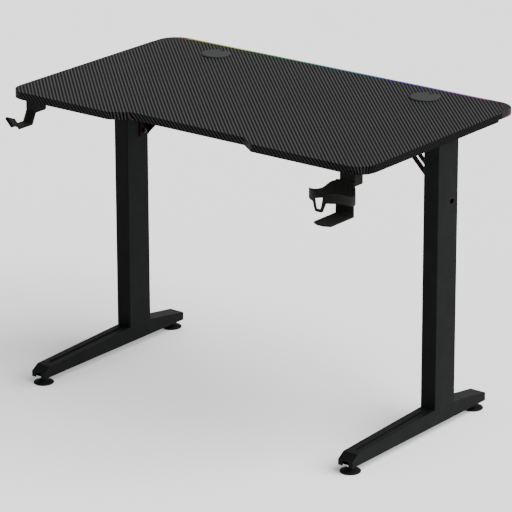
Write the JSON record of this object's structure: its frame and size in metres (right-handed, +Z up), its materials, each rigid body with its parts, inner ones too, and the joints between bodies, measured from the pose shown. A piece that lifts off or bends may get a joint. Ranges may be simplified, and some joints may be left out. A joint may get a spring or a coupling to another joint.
{
  "type": "gaming desk",
  "caption": "Rectangular gaming desk on two T-shaped steel legs, with a cut-back front edge, rear light strip, cable grommets, headphone hook and cup holder.",
  "frame": {"origin": "on the floor, at the middle of the outline box", "axes": "+X to the right of a person sitting at the desk, +Y to the rear edge, +Z up"},
  "size_m": [1.01, 0.685, 0.7211],
  "materials": {
    "carbon_laminate": "satin laminate with a diagonal woven pattern",
    "powder_coat": "satin powder coat",
    "gusset_paint": "satin powder coat, very dark red-brown",
    "black_plastic": "fine matt grain",
    "cap_plastic": "matt",
    "button_plastic": "satin",
    "diffuser": "frosted",
    "led_tape": "satin",
    "zinc_steel": "zinc plated",
    "black_steel": "black oxide",
    "foot_pad": "matt"
  },
  "bodies": {
    "frame": {"desktop_board": "carbon_laminate", "light_diffuser": "diffuser", "led_tape": "led_tape", "grommet_sleeve_left": "black_plastic", "grommet_sleeve_right": "black_plastic", "column_left": "powder_coat", "column_right": "powder_coat", "foot_beam_left": "powder_coat", "foot_beam_right": "powder_coat", "nut_plates_left": "powder_coat", "nut_plates_right": "powder_coat", "support_arm_left": "powder_coat", "support_arm_right": "powder_coat", "crossbeam": "powder_coat", "gusset_left": "gusset_paint", "gusset_right": "gusset_paint", "headphone_hook": "black_plastic", "hook_screws": "zinc_steel", "cup_holder": "black_plastic", "cup_holder_screws": "zinc_steel", "arm_screws": "zinc_steel", "gusset_bolts": "black_steel", "beam_bolts": "black_steel", "light_controller_case": "black_plastic", "light_controller_lid": "black_plastic", "light_controller_socket": "black_plastic", "light_controller_screws": "zinc_steel"},
    "level_left_front": {"pad_left_front": "foot_pad", "stud_left_front": "zinc_steel"},
    "level_left_rear": {"pad_left_rear": "foot_pad", "stud_left_rear": "zinc_steel"},
    "level_right_front": {"pad_right_front": "foot_pad", "stud_right_front": "zinc_steel"},
    "level_right_rear": {"pad_right_rear": "foot_pad", "stud_right_rear": "zinc_steel"},
    "cap_left": {"grommet_cap_left": "cap_plastic"},
    "cap_right": {"grommet_cap_right": "cap_plastic"},
    "button": {"light_controller_button": "button_plastic"}
  },
  "joints": [
    {"name": "level_left_front_screw", "type": "slide", "parent": "frame", "child": "level_left_front", "axis": [0, 0, -1], "range_m": [0, 0.012]},
    {"name": "level_left_rear_screw", "type": "slide", "parent": "frame", "child": "level_left_rear", "axis": [0, 0, -1], "range_m": [0, 0.012]},
    {"name": "level_right_front_screw", "type": "slide", "parent": "frame", "child": "level_right_front", "axis": [0, 0, -1], "range_m": [0, 0.012]},
    {"name": "level_right_rear_screw", "type": "slide", "parent": "frame", "child": "level_right_rear", "axis": [0, 0, -1], "range_m": [0, 0.012]},
    {"name": "cap_left_turn", "type": "hinge", "parent": "frame", "child": "cap_left", "pos_m": [-0.31, 0.2655, 0.718], "axis": [0, 0, 1], "continuous": true},
    {"name": "cap_right_turn", "type": "hinge", "parent": "frame", "child": "cap_right", "pos_m": [0.295, 0.2655, 0.718], "axis": [0, 0, 1], "continuous": true},
    {"name": "button_press", "type": "slide", "parent": "frame", "child": "button", "axis": [0, 0, 1], "range_m": [0, 0.001], "stiffness_N_per_m": 1500}
  ]
}
